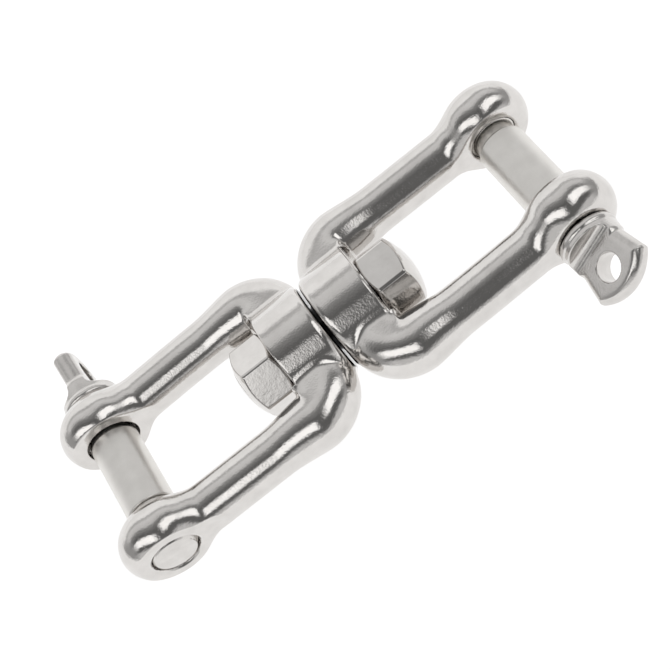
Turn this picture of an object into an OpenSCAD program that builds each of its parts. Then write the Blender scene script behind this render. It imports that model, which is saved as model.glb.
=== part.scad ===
// Jaw-and-jaw swivel: two forked jaws turn on one headed swivel bolt,
// and a screw clevis pin closes each fork.
// X runs along the swivel axis, Y along the clevis pins, Z out of the plane of the forks.
// The origin is the middle of the gap between the jaws. Lengths are in millimetres.

/* [Jaws] */
// Middle of the swivel to each clevis pin's axis
pin_x = 38.2; // [30:0.1:50]
// Diameter of the round arms
arm_d = 8; // [6:0.1:10]
// Swivel axis to each arm's centreline
arm_y = 12; // [10:0.1:16]
// Diameter of the barrel at the root of each jaw
barrel_d = 16.9; // [14:0.1:20]
// Gap between the two barrels
barrel_gap = 0.6; // [0.2:0.05:1.5]
// Rounding of each barrel's edge at the gap
barrel_round = 0.7; // [0.3:0.1:1.5]
// Middle of the swivel to the flat crown face under the bolt head
crown_x = 8.8; // [7:0.1:12]
// Section diameter of the elbow between crown and arm
elbow_d = 9.5; // [8:0.1:10]
// Centreline radius of the elbow
elbow_r = 4.9; // [4.8:0.1:7]
// Length of the taper from elbow to arm
taper_len = 8.5; // [2:0.1:10]

/* [Ears] */
// Outer diameter of the ear at its widest
ear_d = 14.9; // [12:0.1:18]
// Diameter where the ear's bulged rim meets its flat faces
ear_face_d = 11.4; // [9:0.1:14]
// Thickness of the ear along the pin
ear_w = 7.2; // [5:0.1:10]
// Swivel axis to the ear's mid-plane
ear_y = 11.7; // [9:0.1:16]
// How far the ear's centre lies beyond the pin's axis
ear_shift = 0.25; // [0:0.05:1]

/* [Swivel bolt and nut] */
// Diameter of the swivel bolt's shank
bolt_d = 8; // [6:0.1:10]
// Radial clearance of the shank in the barrels
bolt_clearance = 0.05; // [0.02:0.01:0.1]
// Width across the flats of head and nut
hex_af = 11.2; // [9:0.1:14]
// Height of head and nut up to the upper chamfer
hex_h = 5.4; // [3:0.1:8]
// Height of the upper chamfer
hex_chamfer_h = 0.75; // [0.3:0.05:1.5]
// Height of the dome above the chamfer
dome_h = 1.25; // [0.5:0.05:3]
// Play between a crown face and the head or nut
crown_play = 0.2; // [0.05:0.05:0.5]
// Angle that the head is turned about the swivel axis
head_turn = 38; // [0:1:60]
// Angle that the nut is turned about the swivel axis
nut_turn = 45; // [0:1:60]

/* [Clevis pins] */
// Diameter of the plain shank
pin_d = 8; // [6:0.1:10]
// Outer diameter of the pin's threaded end
thread_d = 7.9; // [6:0.1:10]
// Diameter of the neck between shank and thread
neck_d = 7; // [5:0.1:9]
// Diameter of the relief under the collar, inside the clearance hole
relief_d = 7.5; // [6:0.1:10]
// Clearance hole through the ear beside the collar
clearance_d = 8.8; // [8:0.1:11]
// Hole in the ear that takes the threaded end
thread_hole_d = 8; // [6:0.1:10]
// Mouth of the countersink at the threaded hole
countersink_d = 8.8; // [8:0.1:11]
// Collar diameter
collar_d = 9.8; // [9:0.1:13]
// Groove between the two rings of the collar
groove_d = 8.9; // [8:0.1:12]

/* [Tabs] */
// Thickness of the flat tab
tab_t = 3.3; // [2:0.1:5]
// Width of the tab at its neck
tab_neck_w = 9.3; // [6:0.1:10]
// Width of the tab at its two corners
tab_w = 11.3; // [7:0.1:14]
// Pin's middle to the start of the flats
tab_start = 18.9; // [18:0.1:22]
// Pin's middle to the tab's corners
tab_corner = 24.5; // [22:0.1:28]
// Pin's middle to the tip of the tab
tab_tip = 27; // [25:0.1:32]
// Diameter of the hole through the tab
tab_hole_d = 4.4; // [2:0.1:5]
// Pin's middle to the tab's hole
tab_hole_y = 22.5; // [20:0.1:26]
// Angle that the right pin's tab is turned about its pin
tab_turn_a = -38; // [-90:1:90]
// Angle that the left pin's tab is turned about its pin
tab_turn_b = 85; // [-90:1:90]

/* [Hidden] */
$fn = 96;
steel = [0.78, 0.77, 0.75];
pin_steel = [0.74, 0.73, 0.70];
cut = 0.01;                                 // overrun that keeps a cut clear of a face
ear_in = ear_y - ear_w / 2;                 // inner face of an ear
ear_out = ear_y + ear_w / 2;                // outer face of an ear
elbow_x = (barrel_gap + elbow_d) / 2;
arm_start = elbow_x + elbow_r;              // where the straight arm begins
rim_sag = (ear_d - ear_face_d) / 2;         // height of the bulged rim's arc
rim_r = (pow(ear_w / 2, 2) + pow(rim_sag, 2)) / (2 * rim_sag);
hex_tip_r = hex_af / 2 / cos(30);           // across-corners radius of the hex
hex_base = crown_x + crown_play;
hex_top = hex_base + hex_h + hex_chamfer_h;
hex_base_r = hex_af / 2 - 0.2;              // radius of the flat face at the crown
dome_face_r = hex_af / 2 - 0.3;             // radius where the dome starts
dome_r = (pow(dome_face_r, 2) + pow(dome_h, 2)) / (2 * dome_h);
dome_x = hex_top + dome_h - dome_r;         // centre of the dome's sphere
chamfer_slope = hex_chamfer_h / (hex_tip_r - dome_face_r);
shank_end = ear_in - 1.5;                   // the shank stops just short of the threaded ear
thread_start = ear_in + 0.6;
tip_end = ear_out - 0.2;                    // the threaded end sits almost flush
collar_seat = ear_out + 0.15;
collar_groove = collar_seat + 1.6;
collar_end = collar_groove + 1;
tip_sag = tab_tip - tab_corner;             // height of the tab's rounded end
tip_r = (pow(tab_w / 2, 2) + pow(tip_sag, 2)) / (2 * tip_sag);
scallop_r = 1.3;
section_start = 38;                         // where the turned section starts, clear of the flats

// A profile drawn as [radius, height] and turned about X, height running along +X.
module turned_x() {
  rotate([0, 90, 0]) rotate_extrude() children();
}

// A profile drawn as [radius, height] and turned about Y, height running along -Y.
module turned_pin() {
  rotate([90, 0, 0]) rotate_extrude() children();
}

// Barrel with its edge rounded at the gap.
module barrel() {
  start = barrel_gap / 2;
  turned_x() union() {
    translate([0, start + barrel_round])
      square([barrel_d / 2, crown_x - start - barrel_round]);
    translate([0, start]) square([barrel_d / 2 - barrel_round, barrel_round + cut]);
    intersection() {
      translate([barrel_d / 2 - barrel_round, start + barrel_round]) circle(barrel_round);
      translate([0, start]) square([barrel_d, barrel_d]);
    }
  }
}

// One arm with its elbow; side is 1 or -1.
module arm(side) {
  bend_y = arm_y - elbow_r;
  translate([elbow_x, 0, 0]) rotate([-90 * side, 0, 0]) cylinder(h = bend_y, d = elbow_d);
  translate([arm_start, side * bend_y, 0]) scale([-1, side, 1])
    rotate_extrude(angle = 90) translate([elbow_r, 0]) circle(d = elbow_d);
  translate([arm_start, side * arm_y, 0]) rotate([0, 90, 0]) {
    cylinder(h = taper_len, d1 = elbow_d, d2 = arm_d);
    cylinder(h = pin_x - arm_start, d = arm_d);
  }
}

// Ear: flat faces and a bulged rim.
module ear(side) {
  translate([pin_x + ear_shift, side * ear_y, 0]) turned_pin() union() {
    translate([0, -ear_w / 2]) square([ear_face_d / 2, ear_w]);
    intersection() {
      translate([ear_d / 2 - rim_r, 0]) circle(rim_r);
      translate([0, -ear_w / 2]) square([ear_d, ear_w]);
    }
  }
}

// Cuts that run the arm out flat at the two faces of an ear.
module ear_flats(side) {
  translate([pin_x + ear_shift, side * ear_y, 0]) for (face = [-90, 90])
    rotate([face, 0, 0]) translate([0, 0, ear_w / 2])
      cylinder(h = 1, d1 = ear_face_d, d2 = ear_face_d + 4);
}

// Bores of one jaw: swivel bore, clearance hole at -Y, countersunk threaded hole at +Y.
module jaw_bores() {
  rotate([0, 90, 0]) cylinder(h = crown_x * 3, r = bolt_d / 2 + bolt_clearance, center = true);
  translate([pin_x, 0, 0]) rotate([90, 0, 0]) {
    cylinder(h = ear_out + 1, d = clearance_d);
    translate([0, 0, -ear_out - 1]) cylinder(h = ear_w + 2, d = thread_hole_d);
    translate([0, 0, -ear_in - 0.4])
      cylinder(h = 0.4 + cut, d1 = thread_hole_d, d2 = countersink_d);
  }
}

// A whole jaw that points along +X.
module jaw() {
  difference() {
    union() {
      barrel();
      for (side = [-1, 1]) {
        arm(side);
        ear(side);
      }
    }
    translate([crown_x, cut - arm_y + arm_d / 2, -barrel_d])
      cube([arm_start + taper_len - crown_x, arm_y * 2 - arm_d - cut * 2, barrel_d * 2]);
    for (side = [-1, 1]) ear_flats(side);
    jaw_bores();
  }
}

// Half section of head or nut: chamfered at both ends and domed, with an optional bore.
module hex_section(bore_r) {
  over_r = hex_tip_r + 1;
  intersection() {
    polygon([
      [bore_r, hex_base],
      [hex_base_r, hex_base],
      [over_r, hex_base + (over_r - hex_base_r) * tan(30)],
      [over_r, hex_top - (over_r - dome_face_r) * chamfer_slope],
      [bore_r, hex_top + (dome_face_r - bore_r) * chamfer_slope]
    ]);
    translate([0, dome_x]) circle(dome_r);
  }
}

// Hexagon turned about X, trimmed to its half section.
module hex_cap(turn, bore_r = 0) {
  intersection() {
    rotate([turn, 0, 0]) rotate([0, 90, 0])
      translate([0, 0, hex_base - 1]) cylinder(h = hex_top + dome_h, r = hex_tip_r, $fn = 6);
    turned_x() hex_section(bore_r);
  }
}

// Swivel bolt: domed hex head at +X, shank through both barrels and the nut.
module swivel_bolt() {
  color(steel) {
    hex_cap(head_turn);
    turned_x() intersection() {
      translate([0, -hex_top - dome_h]) square([bolt_d / 2, hex_top + dome_h + hex_base + 1]);
      union() {
        translate([0, -dome_x]) circle(dome_r);
        translate([0, -hex_base]) square([bolt_d, hex_base * 2 + 2]);
      }
    }
  }
}

// Swivel nut: fixed on the bolt's far end, the same shape as the head.
module swivel_nut() {
  color(steel) rotate([0, 0, 180]) hex_cap(nut_turn, bolt_d / 2 + 0.02);
}

// Half section of a clevis pin: threaded end, neck, shank, relief, two-ring collar
// and the tab's blank, which flares from the collar and ends in a dome.
module pin_section() {
  end = tab_tip + 1;
  neck = tab_start + 0.4;
  flare = (tab_w - tab_neck_w) / 2 / (tab_corner - neck);
  intersection() {
    polygon([
      [0, -tip_end],
      [thread_d / 2 - 0.5, -tip_end],
      [thread_d / 2, -tip_end + 0.5],
      [thread_d / 2, -thread_start - 0.4],
      [neck_d / 2, -thread_start],
      [neck_d / 2, -shank_end - 0.4],
      [pin_d / 2, -shank_end],
      [pin_d / 2, ear_in - 0.2],
      [relief_d / 2, ear_in + 0.1],
      [relief_d / 2, collar_seat],
      [collar_d / 2 - 0.2, collar_seat],
      [collar_d / 2, collar_seat + 0.2],
      [collar_d / 2, collar_seat + 0.7],
      [groove_d / 2, collar_groove],
      [collar_d / 2 - 0.2, collar_groove + 0.4],
      [collar_d / 2 - 0.2, collar_end],
      [tab_neck_w / 2, neck],
      [tab_neck_w / 2 + flare * (end - neck), end],
      [0, end]
    ]);
    union() {
      translate([0, tab_tip - tip_r]) circle(tip_r);
      translate([0, -tip_end]) square([tab_w, tip_end + tab_start + 1]);
    }
  }
}

// Edge-on shape of what is milled away beside one flat, with a scallop at the collar.
module mill_profile() {
  translate([tab_start, tab_t / 2 + scallop_r]) circle(scallop_r);
  translate([tab_start, tab_t / 2]) square([tab_tip, collar_d]);
  translate([tab_start - scallop_r, tab_t / 2 + scallop_r]) square([tab_tip, collar_d]);
}

// What turns the blank into a tab: two milled flats and the hole through them.
module tab_cuts() {
  for (side = [0, 180]) rotate([0, side, 0])
    rotate([0, 0, -90]) rotate([90, 0, 0])
      linear_extrude(height = tab_w * 2, center = true) mill_profile();
  translate([0, -tab_hole_y, 0]) cylinder(h = tab_t * 3, d = tab_hole_d, center = true);
}

// Whole clevis pin of a jaw that points along +X.
module clevis_pin(turn) {
  translate([pin_x, 0, 0]) rotate([0, turn, 0]) difference() {
    rotate([0, section_start, 0]) turned_pin() pin_section();
    tab_cuts();
  }
}

module jaw_a() {
  color(steel) jaw();
}

module jaw_b() {
  color(steel) rotate([0, 0, 180]) jaw();
}

module pin_a() {
  color(pin_steel) clevis_pin(tab_turn_a);
}

module pin_b() {
  color(pin_steel) rotate([0, 0, 180]) clevis_pin(tab_turn_b);
}

jaw_a();
jaw_b();
swivel_bolt();
swivel_nut();
pin_a();
pin_b();
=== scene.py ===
"""Jaw-and-jaw swivel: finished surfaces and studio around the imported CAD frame.

Every shape is a signed distance in the shared frame: X along the swivel axis, Y along the clevis pins, Z
up. The jaws and pins are written once, pointing along +X, and turned about Z for the left side. Each shape
is meshed from its distance, and every vertex is then moved onto the true surface. Lengths are in
millimetres and angles in degrees, unless a line says otherwise.
"""

import math

import bpy
import numpy as np
import openvdb
from mathutils import Matrix, Vector


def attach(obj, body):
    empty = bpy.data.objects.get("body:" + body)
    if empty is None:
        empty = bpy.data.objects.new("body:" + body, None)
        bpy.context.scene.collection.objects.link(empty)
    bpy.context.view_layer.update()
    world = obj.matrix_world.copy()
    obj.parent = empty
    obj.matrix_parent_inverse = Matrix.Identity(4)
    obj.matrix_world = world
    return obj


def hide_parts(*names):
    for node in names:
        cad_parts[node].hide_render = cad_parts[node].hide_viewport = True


MM = 0.001

# How far a shape runs on inside its neighbour
OVERLAP = 1

# Meshing: the corners of the box that holds each shape, and the size of its cells
JAW_BOX = ((-1, -18, -9.5), (47, 18, 9.5))
JAW_CELL = 0.24
BOLT_BOX = ((-17.5, -7.5, -7.5), (17.5, 7.5, 7.5))
BOLT_CELL = 0.12
NUT_BOX = ((8, -7.5, -7.5), (17.5, 7.5, 7.5))
NUT_CELL = 0.1
PIN_BOX = ((32, -28, -7), (44.5, 16, 7))
PIN_CELL = 0.13
CELLS_KEPT = 3.0
SETTLING_MOVES = 4
LEAST_STEEPNESS = 0.05
SLOPE_STEP = 0.001

# Jaw
PIN_X = 38.2
GAP_HALF = 0.18
BARREL_R = 8.45
BARREL_ROUND = 1.2
CROWN_X = 8.8
CROWN_ROUND = 0.35
ELBOW_R = 4.75
ELBOW_X = 5.05
BEND_R = 4.9
ELBOW_FULLNESS = 3
ELBOW_BLEND = 0.8
ARM_R = 4.0
ARM_Y = 12.0
ARM_LEAN = 0.45
TAPER = 8.5
TAPER_LEAD = 1
EAR_Y = 11.7
EAR_HALF = 3.6
EAR_R = 7.45
EAR_FACE_R = 5.7
EAR_FACE_REACH = 2 * EAR_FACE_R
EAR_BULGE_R = 4.6
EAR_LEAN = 0.6
EAR_SHIFT = 0.25
EAR_FLARE = 0.9
EAR_BLEND = 1.8
EAR_FACE_ROUND = 0.3
WINDOW_END = 16.0

# Holes
HOLE_ROUND = 0.2
SWIVEL_BORE_R = 4.05
CLEARANCE_R = 4.4
THREAD_HOLE_R = 4.0
COUNTERSINK = 0.4

# Swivel bolt and nut
BOLT_R = 4.0
HEX_FLAT = 5.6
HEX_BASE = 9.0
HEX_BASE_R = 5.4
DOME_FACE_R = 5.3
HEX_EDGE = 14.4
HEX_TOP = 15.15
DOME_H = 1.25
HEX_CHAMFER = 30
HEX_ROUND = 0.35
HEX_TOP_ROUND = 0.1
HEX_END_ROUND = 0.15
BOLT_END_ROUND = 0.15
NUT_BORE_R = 4.02
NUT_BORE_ROUND = 0.1
HEAD_TURN = 38
NUT_TURN = 45

# Clevis pins; a section's ends are measured from the middle of the jaw towards the tab
THREAD_ENDS = (-15.1, -8.7)
THREAD_R = 3.95
THREAD_DEPTH = 0.6
THREAD_PITCH = 1.25
THREAD_ROUND = 0.1
TIP_CHAMFER = 0.5
NECK_ENDS = (-10, -5)
NECK_R = 3.5
NECK_FILLET = 0.2
SHANK_ENDS = (-6.6, 8)
PIN_R = 4.0
SHANK_ROUND = 0.35
RELIEF_ENDS = (7, 16)
RELIEF_R = 3.75
RELIEF_FILLET = 0.1
RING_ENDS = (15.45, 17)
RING_R = 4.9
RING_ROUND = 0.7
SECOND_RING_ENDS = (16.5, 19.4)
SECOND_RING_R = 4.7
SECOND_RING_ROUND = 0.5
RING_FILLET = 0.15
TAB_START = 17
TAB_FILLET = 0.6
MILL_START = 17.6
MILL_ROUND = 0.2
SCALLOP_R = 1.4
TAB_HALF = 1.65
TAB_NECK = 19.3
TAB_NECK_W = 4.65
TAB_CORNER = 24.5
TAB_CORNER_W = 5.65
TAB_TIP = 27.0
TAB_TIP_ROUND = 0.35
RIM_R = 1.85
TAB_HOLE = 22.5
TAB_HOLE_R = 2.2
TAB_TURN_A = -38
TAB_TURN_B = 85

# Steel: noise mixes each pair of tints and of roughnesses. The jaw faces in the gap carry painted shade, a
# near black colour.
FORGED_TINTS = ((0.63, 0.61, 0.59), (0.69, 0.67, 0.65))
FORGED_ROUGHNESS = (0.02, 0.06)
SKIN_WAVES = 0.01
JAW_PITS = 0.018
HEX_PITS = 0.006
TURNING_MARKS = 0.006
PIN_PITS = 0.02
# Painted shade: near black colour of the jaw faces in the gap between the barrels. It is full up to the
# first distance from the middle in X and gone from the second.
GAP_SHADE = (0.02, 0.02, 0.02, 1)
GAP_SHADE_UP_TO = GAP_HALF + 0.06
GAP_SHADE_GONE_FROM = GAP_HALF + 0.12
SATIN_TINTS = ((0.72, 0.70, 0.67), (0.78, 0.76, 0.73))
SATIN_ROUGHNESS = (0.30, 0.38)
PIN_END_TINTS = ((0.60, 0.58, 0.56), (0.68, 0.66, 0.64))
PIN_END_ROUGHNESS = (0.10, 0.18)
SATIN_UP_TO = 8
PIN_END_FROM = 10
NOISE_LOW = 0.3
NOISE_HIGH = 0.7

# Floor
FLOOR_Z = -30.0
FLOOR_RADIUS = 4000
FLOOR_SIDES = 96
FLOOR_GLOW = 0.75
FLOOR_ROUGHNESS = 0.9
PAPER_TINTS = ((0.49, 0.49, 0.49), (0.51, 0.51, 0.51))

# Light, by direction: its X component, and the degrees round the X axis from +Y over the top to -Y.
# SURROUND is the brightness at so many degrees. A softbox is its two ends in X and its two in degrees.
SURROUND = (
    (0, 1.0),
    (40, 1.1),
    (50, 0.5),
    (60, 0.8),
    (80, 0.7),
    (90, 0.3),
    (110, 0.15),
    (165, 0.15),
    (175, 0.7),
)
END_REACH = 0.88
END_GREY = (0.4, 0.4, 0.4, 1)
SOFTBOXES = ((-0.85, -0.1, 120, 150), (0.25, 0.9, 105, 140))
BOX_LIGHT = (1.4, 1.4, 1.4, 1)
BOX_EDGE = 0.2
BOX_EDGE_TURN = 6
BOX_SWING = 22
SWING_REACH = 0.8
WHITE = (1, 1, 1, 1)

# Camera
SENSOR_WIDTH = 36
CLIP_START = 10
VIEW_AZIMUTH = 5.63
VIEW_ELEVATION = 56.44
VIEW_ROLL = -42.96
VIEW_DISTANCE = 202.55
VIEW_TARGET = (0.04, -1.32, -0.87)
VIEW_LENS = 70.86


def rounded_and(a, b, r):
    """Intersection whose edge is rounded to radius r."""
    return np.minimum(np.maximum(a, b), -r) + np.hypot(np.maximum(a + r, 0), np.maximum(b + r, 0))


def filleted_or(a, b, r):
    """Union whose inner corner is filled to radius r."""
    return np.maximum(np.minimum(a, b), r) - np.hypot(np.maximum(r - a, 0), np.maximum(r - b, 0))


def blended_or(a, b, width):
    """Union that melts together where the two distances differ by less than width."""
    near = np.maximum(width - np.abs(a - b), 0) / width
    return np.minimum(a, b) - near * near * width / 4


def eased(v, low, high):
    """0 up to low, 1 from high on, and a smooth rise between."""
    t = np.clip((v - low) / (high - low), 0, 1)
    return t * t * (3 - 2 * t)


def between(v, low, high):
    """Slab from low to high."""
    return np.maximum(low - v, v - high)


def barrel(x, y, z):
    """Barrel with its edge rounded at the gap. It runs past the crown, where the window ends it."""
    length = between(x, GAP_HALF, CROWN_X + OVERLAP)
    return rounded_and(length, np.hypot(y, z) - BARREL_R, BARREL_ROUND)


def arm(x, side, z, lean):
    """Elbow and arm: a tube along a bent line. It is fuller inside the elbow, and thins towards the arm."""
    bend_x, bend_y = ELBOW_X + BEND_R, ARM_Y - BEND_R
    side = side + lean * eased(x, WINDOW_END, PIN_X)
    turn = np.where(x > bend_x, math.pi / 2, np.arctan2(np.maximum(side - bend_y, 0), bend_x - x))
    outward = np.where(side < bend_y, ELBOW_X - x, np.hypot(x - bend_x, side - bend_y) - BEND_R)
    outward = np.where(x > bend_x, side - ARM_Y, outward)
    fullness = 1 + (ELBOW_FULLNESS - 1) * (1 - eased(turn, 0, math.pi / 2))
    across = np.where(outward < 0, outward / fullness, outward)
    taper_x = bend_x - TAPER_LEAD
    radius = ELBOW_R + (ARM_R - ELBOW_R) * eased(x, taper_x, taper_x + TAPER)
    return np.maximum(np.hypot(across, z) - radius, x - PIN_X)


def ear(x, y, z):
    """Thick ring of round section, whose flat faces are cut later. The one at -Y leans inwards."""
    out = np.hypot(x - PIN_X - EAR_SHIFT, z) - EAR_R + EAR_BULGE_R
    across = np.where(y < 0, y + EAR_Y - EAR_LEAN, y - EAR_Y)
    return np.hypot(np.maximum(out, 0), across) - EAR_BULGE_R


def pin_hole(y):
    """Radius of the hole that takes the pin: clear at -Y, threaded and countersunk at +Y."""
    inner, outer = EAR_Y - EAR_HALF, EAR_Y + EAR_HALF
    mouth = np.maximum(COUNTERSINK - np.minimum(np.abs(y - inner), np.abs(y - outer)), 0)
    return np.where(y < 0, CLEARANCE_R, THREAD_HOLE_R + mouth)


def jaw(x, y, z):
    """A whole jaw that points along +X. The cut for an ear's flat faces opens out, to spare the arm."""
    side = np.abs(y)
    lean = np.where(y < 0, ARM_LEAN, 0)
    body = blended_or(barrel(x, y, z), arm(x, side, z, lean), ELBOW_BLEND)
    body = np.maximum(body, GAP_HALF - x)
    body = blended_or(body, ear(x, y, z), EAR_BLEND)
    out = np.hypot(x - PIN_X - EAR_SHIFT, z)
    clear = EAR_FLARE * eased(out, EAR_R, EAR_FACE_REACH) + np.maximum(out - EAR_FACE_REACH, 0)
    faces = np.abs(side - EAR_Y) - EAR_HALF - clear
    body = rounded_and(body, faces, EAR_FACE_ROUND)
    window = np.maximum(between(x, CROWN_X, WINDOW_END), side - ARM_Y + ELBOW_R)
    body = rounded_and(body, -window, CROWN_ROUND)
    body = rounded_and(body, SWIVEL_BORE_R - np.hypot(y, z), HOLE_ROUND)
    return rounded_and(body, pin_hole(y) - np.hypot(x - PIN_X, z), HOLE_ROUND)


def hexagon(y, z, turn):
    """Prism along X with rounded corners; turn is the angle that its flats stand at."""
    faces = []
    for k in range(3):
        a = math.radians(turn + 60 * k)
        faces.append(np.abs(y * math.cos(a) + z * math.sin(a)) - HEX_FLAT)
    return rounded_and(rounded_and(faces[0], faces[1], HEX_ROUND), faces[2], HEX_ROUND)


def hex_cap(x, y, z, turn):
    """Domed hexagon, chamfered at both ends, with its base at the right crown."""
    r = np.hypot(y, z)
    corner_r = HEX_FLAT / math.cos(math.pi / 6)
    rise, run = HEX_TOP - HEX_EDGE, corner_r - DOME_FACE_R
    dome_r = (DOME_FACE_R**2 + DOME_H**2) / (2 * DOME_H)
    top = ((r - DOME_FACE_R) * rise + (x - HEX_TOP) * run) / math.hypot(rise, run)
    chamfer = math.radians(HEX_CHAMFER)
    base = (r - HEX_BASE_R) * math.sin(chamfer) - (x - HEX_BASE) * math.cos(chamfer)
    dome = np.hypot(r, x - HEX_TOP - DOME_H + dome_r) - dome_r
    ends = rounded_and(top, dome, HEX_TOP_ROUND)
    ends = np.maximum(ends, np.maximum(base, HEX_BASE - x))
    return rounded_and(hexagon(y, z, turn), ends, HEX_END_ROUND)


def bolt(x, y, z):
    """Swivel bolt: the head at +X and a shank whose far end is domed like the nut."""
    dome_r = (DOME_FACE_R**2 + DOME_H**2) / (2 * DOME_H)
    end = HEX_TOP + DOME_H
    dome = np.where(x < 0, np.hypot(np.hypot(y, z), x + end - dome_r) - dome_r, x - HEX_BASE - OVERLAP)
    shank = rounded_and(np.hypot(y, z) - BOLT_R, dome, BOLT_END_ROUND)
    return np.minimum(hex_cap(x, y, z, HEAD_TURN), shank)


def nut(x, y, z):
    """Swivel nut, written at +X; it is turned about Z to its place."""
    return rounded_and(hex_cap(x, y, z, NUT_TURN), NUT_BORE_R - np.hypot(y, z), NUT_BORE_ROUND)


def threaded_end(r, u, turn):
    """Thread with a chamfered tip."""
    groove = np.abs((u / THREAD_PITCH - turn / (2 * math.pi) + 0.5) % 1 - 0.5) * 2
    thread = rounded_and(between(u, *THREAD_ENDS), r - THREAD_R + THREAD_DEPTH * groove, THREAD_ROUND)
    tip = (r - THREAD_R + TIP_CHAMFER - (u - THREAD_ENDS[0])) * math.sqrt(0.5)
    return rounded_and(thread, tip, THREAD_ROUND)


def pin_round(r, u, turn):
    """Thread, neck, shank, relief and two rings; u runs along the pin towards the tab."""
    thread = threaded_end(r, u, turn)
    neck = np.maximum(between(u, *NECK_ENDS), r - NECK_R)
    shank = rounded_and(between(u, *SHANK_ENDS), r - PIN_R, SHANK_ROUND)
    relief = np.maximum(between(u, *RELIEF_ENDS), r - RELIEF_R)
    ring = rounded_and(between(u, *RING_ENDS), r - RING_R, RING_ROUND)
    second = rounded_and(between(u, *SECOND_RING_ENDS), r - SECOND_RING_R, SECOND_RING_ROUND)
    body = np.minimum(filleted_or(thread, neck, NECK_FILLET), filleted_or(neck, shank, NECK_FILLET))
    body = filleted_or(np.minimum(body, shank), relief, RELIEF_FILLET)
    return np.minimum(body, filleted_or(np.minimum(ring, relief), second, RING_FILLET))


def tab_plate(u, v, n):
    """Flared plate with a curved tip and a bulged rim; v runs across it and n out of its flats."""
    flare = (TAB_CORNER_W - TAB_NECK_W) / (TAB_CORNER - TAB_NECK)
    sag = TAB_TIP - TAB_CORNER
    tip_r = (TAB_CORNER_W**2 + sag**2) / (2 * sag)
    sides = (np.abs(v) - TAB_NECK_W - (u - TAB_NECK) * flare) / math.hypot(1, flare)
    outline = rounded_and(sides, np.hypot(v, u - TAB_TIP + tip_r) - tip_r, TAB_TIP_ROUND)
    rim = np.hypot(np.maximum(outline + RIM_R, 0), n) - RIM_R
    return np.maximum(rim, TAB_START - u)


def clevis_pin(x, y, z, tab_turn):
    """A whole clevis pin of the right jaw, its tab at -Y."""
    a = math.radians(tab_turn)
    across, out = x - PIN_X, z
    u = -y
    v = across * math.cos(a) - out * math.sin(a)
    n = across * math.sin(a) + out * math.cos(a)
    body = pin_round(np.hypot(across, out), u, np.arctan2(out, across))
    body = filleted_or(body, tab_plate(u, v, n), TAB_FILLET)
    flats = filleted_or(np.abs(n) - TAB_HALF, u - MILL_START, SCALLOP_R)
    body = rounded_and(body, flats, MILL_ROUND)
    return rounded_and(body, TAB_HOLE_R - np.hypot(v, u - TAB_HOLE), HOLE_ROUND)


def slope(shape, points):
    """Distance and its gradient at each point."""
    gradient = np.empty_like(points)
    for axis in range(3):
        step = np.zeros(3)
        step[axis] = SLOPE_STEP
        gradient[:, axis] = (shape(*(points + step).T) - shape(*(points - step).T)) / (2 * SLOPE_STEP)
    return shape(*points.T), gradient


def surface(shape, low, high, cell):
    """Points, quads and normals of a shape between two corners."""
    axes = [np.arange(a, b + cell, cell) for a, b in zip(low, high)]
    field = shape(*np.meshgrid(*axes, indexing="ij"))
    grid = openvdb.FloatGrid(background=CELLS_KEPT)
    grid.copyFromArray(np.clip(field / cell, -CELLS_KEPT, CELLS_KEPT).astype(np.float32))
    points, quads = grid.convertToQuads(0.0)
    points = np.array(low) + points.astype(float) * cell
    for _ in range(SETTLING_MOVES):
        distance, gradient = slope(shape, points)
        steepness = np.maximum((gradient**2).sum(1), LEAST_STEEPNESS)
        move = np.clip(-distance / steepness, -cell, cell)
        points += gradient * move[:, None]
    _, gradient = slope(shape, points)
    normals = gradient / np.maximum(np.linalg.norm(gradient, axis=1), 1e-9)[:, None]
    return points, quads, normals


def add_piece(name, made, turned, material, body, node):
    """Adds a meshed shape as a piece; turned ones are rotated half a turn about Z."""
    points, quads, normals = made
    flip = np.array([-1, -1, 1]) if turned else np.ones(3)
    mesh = bpy.data.meshes.new(name)
    mesh.from_pydata((points * flip * MM).tolist(), [], quads.tolist())
    mesh.shade_smooth()
    mesh.normals_split_custom_set_from_vertices((normals * flip).tolist())
    mesh.materials.append(material)
    piece = bpy.data.objects.new(name, mesh)
    bpy.context.scene.collection.objects.link(piece)
    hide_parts(node)
    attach(piece, body)


def nodes_of(material):
    """Node tree, its Principled shader and a coordinate in millimetres on the piece."""
    material.use_nodes = True
    tree = material.node_tree
    shader = tree.nodes["Principled BSDF"]
    place = tree.nodes.new("ShaderNodeTexCoord")
    scale = tree.nodes.new("ShaderNodeMapping")
    scale.inputs["Scale"].default_value = (1 / MM, 1 / MM, 1 / MM)
    tree.links.new(place.outputs["Object"], scale.inputs["Vector"])
    return tree, shader, scale.outputs["Vector"]


def noise(tree, place, per_mm, detail, stretch=None):
    """Noise with so many features in a millimetre, drawn out along an axis where stretch says."""
    if stretch:
        drawn = tree.nodes.new("ShaderNodeMapping")
        drawn.inputs["Scale"].default_value = stretch
        tree.links.new(place, drawn.inputs["Vector"])
        place = drawn.outputs["Vector"]
    node = tree.nodes.new("ShaderNodeTexNoise")
    node.inputs["Scale"].default_value = per_mm
    node.inputs["Detail"].default_value = detail
    tree.links.new(place, node.inputs["Vector"])
    return node.outputs["Fac"]


def ramp(tree, factor, stops):
    """Colour ramp through (position, colour) stops."""
    node = tree.nodes.new("ShaderNodeValToRGB")
    marks = node.color_ramp.elements
    while len(marks) < len(stops):
        marks.new(1.0)
    for mark, (position, colour) in zip(marks, stops):
        mark.position = position
        mark.color = (*colour, 1)
    tree.links.new(factor, node.inputs["Fac"])
    return node.outputs["Color"]


def mixed(tree, factor, a, b):
    """Colour a where the factor is 0 and b where it is 1; either may be a plain colour."""
    node = tree.nodes.new("ShaderNodeMix")
    node.data_type = "RGBA"
    tree.links.new(factor, node.inputs["Factor"])
    for socket, colour in ((node.inputs["A"], a), (node.inputs["B"], b)):
        if isinstance(colour, tuple):
            socket.default_value = colour
        else:
            tree.links.new(colour, socket)
    return node.outputs["Result"]


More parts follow.
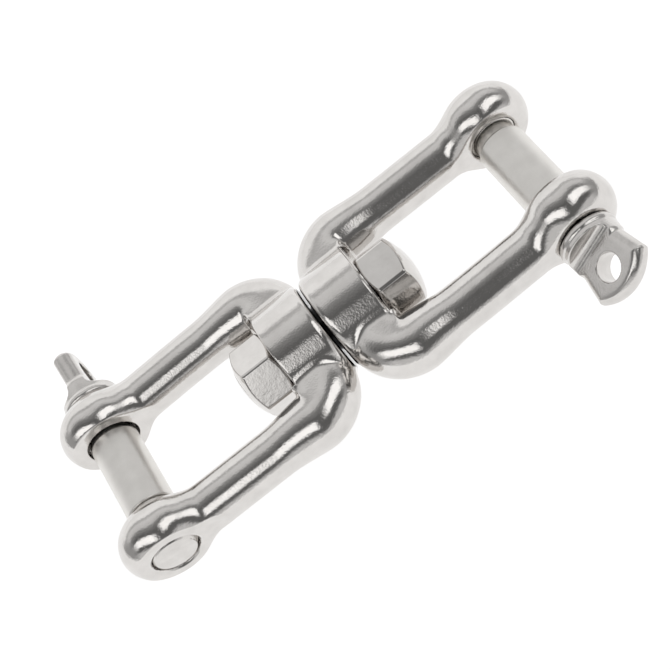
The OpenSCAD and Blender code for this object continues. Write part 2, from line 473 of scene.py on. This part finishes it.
def tinted(tree, noise_level, tints):
    """Colour from the first tint to the second, where noise mostly lies."""
    return ramp(tree, noise_level, [(NOISE_LOW, tints[0]), (NOISE_HIGH, tints[1])])


def spread(tree, noise_level, ends):
    """Value from the first end to the second, where noise mostly lies."""
    node = tree.nodes.new("ShaderNodeMapRange")
    node.inputs["From Min"].default_value = NOISE_LOW
    node.inputs["From Max"].default_value = NOISE_HIGH
    node.inputs["To Min"].default_value = ends[0]
    node.inputs["To Max"].default_value = ends[1]
    tree.links.new(noise_level, node.inputs["Value"])
    return node.outputs["Result"]


def bump(tree, height, depth, below=None):
    """Bump of that depth in millimetres, on top of another one."""
    node = tree.nodes.new("ShaderNodeBump")
    node.inputs["Distance"].default_value = depth * MM
    tree.links.new(height, node.inputs["Height"])
    if below:
        tree.links.new(below, node.inputs["Normal"])
    return node.outputs["Normal"]


def beyond(tree, place, axis, low, high):
    """0 up to low millimetres from the middle along that axis, 1 from high on."""
    parts = tree.nodes.new("ShaderNodeSeparateXYZ")
    tree.links.new(place, parts.inputs["Vector"])
    distance = tree.nodes.new("ShaderNodeMath")
    distance.operation = "ABSOLUTE"
    tree.links.new(parts.outputs[axis], distance.inputs[0])
    node = tree.nodes.new("ShaderNodeMapRange")
    node.inputs["From Min"].default_value = low
    node.inputs["From Max"].default_value = high
    tree.links.new(distance.outputs[0], node.inputs["Value"])
    return node.outputs["Result"]


def polished_steel(name, pit_depth):
    """Forged and tumbled stainless steel: near mirror, with a fine uneven skin and small pits.

    The faces in the gap between the barrels are painted near black, as painted shade.
    """
    material = bpy.data.materials.new(name)
    tree, shader, place = nodes_of(material)
    shader.inputs["Metallic"].default_value = 1
    tint = tinted(tree, noise(tree, place, 0.4, 3), FORGED_TINTS)
    # Painted shade: near black on the faces in the gap between the barrels, and steel colour outside it
    outside = beyond(tree, place, "X", GAP_SHADE_UP_TO, GAP_SHADE_GONE_FROM)
    tree.links.new(mixed(tree, outside, GAP_SHADE, tint), shader.inputs["Base Color"])
    roughness = spread(tree, noise(tree, place, 1.2, 4), FORGED_ROUGHNESS)
    tree.links.new(roughness, shader.inputs["Roughness"])
    skin = bump(tree, noise(tree, place, 1.2, 2), SKIN_WAVES)
    skin = bump(tree, noise(tree, place, 3.5, 4), pit_depth, skin)
    tree.links.new(skin, shader.inputs["Normal"])
    return material


def turned_steel():
    """Stainless steel of the pins: a satin shank with fine pits, and polished ends."""
    material = bpy.data.materials.new("turned_steel")
    tree, shader, place = nodes_of(material)
    shader.inputs["Metallic"].default_value = 1
    end = beyond(tree, place, "Y", SATIN_UP_TO, PIN_END_FROM)
    satin_tint = tinted(tree, noise(tree, place, 0.5, 3), SATIN_TINTS)
    end_tint = tinted(tree, noise(tree, place, 0.5, 3), PIN_END_TINTS)
    tree.links.new(mixed(tree, end, satin_tint, end_tint), shader.inputs["Base Color"])
    satin = spread(tree, noise(tree, place, 1.0, 4), SATIN_ROUGHNESS)
    polished = spread(tree, noise(tree, place, 1.0, 4), PIN_END_ROUGHNESS)
    tree.links.new(mixed(tree, end, satin, polished), shader.inputs["Roughness"])
    skin = bump(tree, noise(tree, place, 1.0, 4, (0.5, 12, 0.5)), TURNING_MARKS)
    skin = bump(tree, noise(tree, place, 4, 3), PIN_PITS, skin)
    tree.links.new(skin, shader.inputs["Normal"])
    return material


def floor_material():
    """Plain white paper, partly lit from below like a light table."""
    material = bpy.data.materials.new("white_paper")
    tree, shader, place = nodes_of(material)
    shader.inputs["Roughness"].default_value = FLOOR_ROUGHNESS
    tree.links.new(tinted(tree, noise(tree, place, 0.02, 2), PAPER_TINTS), shader.inputs["Base Color"])
    shader.inputs["Emission Color"].default_value = WHITE
    shader.inputs["Emission Strength"].default_value = FLOOR_GLOW
    return material


def add_floor():
    """Round white floor, low enough that a turned jaw and its pin stay clear of it."""
    mesh = bpy.data.meshes.new("floor")
    rim = []
    for k in range(FLOOR_SIDES):
        a = 2 * math.pi * k / FLOOR_SIDES
        corner = Vector((FLOOR_RADIUS * math.cos(a), FLOOR_RADIUS * math.sin(a), FLOOR_Z))
        rim.append(corner * MM)
    mesh.from_pydata(rim, [], [list(range(FLOOR_SIDES))])
    mesh.materials.append(floor_material())
    floor = bpy.data.objects.new("floor", mesh)
    bpy.context.scene.collection.objects.link(floor)


def calculated(tree, operation, a, b=None):
    """Output of a maths node; b is another output or a plain number."""
    node = tree.nodes.new("ShaderNodeMath")
    node.operation = operation
    tree.links.new(a, node.inputs[0])
    if isinstance(b, (int, float)):
        node.inputs[1].default_value = b
    elif b is not None:
        tree.links.new(b, node.inputs[1])
    return node.outputs[0]


def rising(tree, value, start, end, top):
    """0 up to the start and top from the end on, with a smooth rise between them."""
    node = tree.nodes.new("ShaderNodeMapRange")
    node.interpolation_type = "SMOOTHSTEP"
    node.inputs["From Min"].default_value = start
    node.inputs["From Max"].default_value = end
    node.inputs["To Max"].default_value = top
    tree.links.new(value, node.inputs["Value"])
    return node.outputs["Result"]


def window(tree, value, low, high, edge):
    """1 where the value lies from low to high, with soft edges."""
    entered = rising(tree, value, low - edge / 2, low + edge / 2, 1)
    left = rising(tree, value, high - edge / 2, high + edge / 2, 1)
    return calculated(tree, "SUBTRACT", entered, left)


def light_direction(tree):
    """X component of a direction, and its degrees round the X axis.

    The degrees grow a little towards both ends, so that walls and softboxes stand turned to the object.
    """
    place = tree.nodes.new("ShaderNodeTexCoord")
    parts = tree.nodes.new("ShaderNodeSeparateXYZ")
    tree.links.new(place.outputs["Generated"], parts.inputs["Vector"])
    along = parts.outputs["X"]
    turn = calculated(tree, "ARCTAN2", parts.outputs["Z"], parts.outputs["Y"])
    degrees = calculated(tree, "MULTIPLY", turn, 180 / math.pi)
    swing = rising(tree, calculated(tree, "ABSOLUTE", along), 0, SWING_REACH, BOX_SWING)
    return along, calculated(tree, "ADD", degrees, swing)


def empty_world():
    """Node tree of a new world, with nothing in it."""
    world = bpy.data.worlds.new("studio")
    bpy.context.scene.world = world
    world.use_nodes = True
    world.node_tree.nodes.clear()
    return world.node_tree


def light_studio():
    """Soft studio light: pale walls, a dark ceiling, and two softboxes overhead."""
    tree = empty_world()
    along, degrees = light_direction(tree)
    walls = [(stop / 180, (level, level, level)) for stop, level in SURROUND]
    light = ramp(tree, calculated(tree, "DIVIDE", degrees, 180), walls)
    light = mixed(tree, window(tree, along, -END_REACH, END_REACH, BOX_EDGE), END_GREY, light)
    for left, right, low, high in SOFTBOXES:
        across = window(tree, along, left, right, BOX_EDGE)
        box = calculated(tree, "MULTIPLY", across, window(tree, degrees, low, high, BOX_EDGE_TURN))
        light = mixed(tree, box, light, BOX_LIGHT)
    seen = tree.nodes.new("ShaderNodeLightPath")
    light = mixed(tree, seen.outputs["Is Camera Ray"], light, WHITE)
    glow = tree.nodes.new("ShaderNodeBackground")
    out = tree.nodes.new("ShaderNodeOutputWorld")
    tree.links.new(light, glow.inputs["Color"])
    tree.links.new(glow.outputs["Background"], out.inputs["Surface"])


def add_camera():
    """Camera at the photograph's viewing angle, turned about its own axis."""
    a, e = math.radians(VIEW_AZIMUTH), math.radians(VIEW_ELEVATION)
    back = Vector((math.sin(a) * math.cos(e), -math.cos(a) * math.cos(e), math.sin(e)))
    camera = bpy.data.objects.new("camera", bpy.data.cameras.new("camera"))
    bpy.context.scene.collection.objects.link(camera)
    camera.location = (Vector(VIEW_TARGET) + back * VIEW_DISTANCE) * MM
    level = (-back).to_track_quat("-Z", "Y").to_matrix().to_4x4()
    roll = Matrix.Rotation(math.radians(VIEW_ROLL), 4, "Z")
    camera.rotation_euler = (level @ roll).to_euler()
    camera.data.lens = VIEW_LENS
    camera.data.sensor_width = SENSOR_WIDTH
    camera.data.clip_start = CLIP_START * MM
    bpy.context.scene.camera = camera


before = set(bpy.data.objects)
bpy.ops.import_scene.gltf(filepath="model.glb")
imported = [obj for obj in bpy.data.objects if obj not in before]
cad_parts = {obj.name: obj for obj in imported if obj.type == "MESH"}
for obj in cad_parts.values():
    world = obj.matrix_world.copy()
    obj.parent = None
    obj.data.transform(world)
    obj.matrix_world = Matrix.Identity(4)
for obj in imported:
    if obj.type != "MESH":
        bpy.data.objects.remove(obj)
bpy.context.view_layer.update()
bpy.context.scene.view_settings.view_transform = "Standard"
add_camera()
add_floor()
light_studio()

jaw_steel = polished_steel("forged_steel", JAW_PITS)
hex_steel = polished_steel("hex_steel", HEX_PITS)
pin_steel = turned_steel()
coarse = 1
jaw_mesh = surface(jaw, *JAW_BOX, JAW_CELL * coarse)
bolt_mesh = surface(bolt, *BOLT_BOX, BOLT_CELL * coarse)
nut_mesh = surface(nut, *NUT_BOX, NUT_CELL * coarse)
add_piece("right_jaw", jaw_mesh, False, jaw_steel, "fork_a", "jaw_a")
add_piece("left_jaw", jaw_mesh, True, jaw_steel, "fork_b", "jaw_b")
add_piece("bolt", bolt_mesh, False, hex_steel, "swivel", "swivel_bolt")
add_piece("nut", nut_mesh, True, hex_steel, "swivel", "swivel_nut")
for side, turned, tab_turn in (("a", False, TAB_TURN_A), ("b", True, TAB_TURN_B)):
    pin_mesh = surface(lambda x, y, z: clevis_pin(x, y, z, tab_turn), *PIN_BOX, PIN_CELL * coarse)
    name, body, node = "clevis_pin_" + side, "screw_pin_" + side, "pin_" + side
    add_piece(name, pin_mesh, turned, pin_steel, body, node)
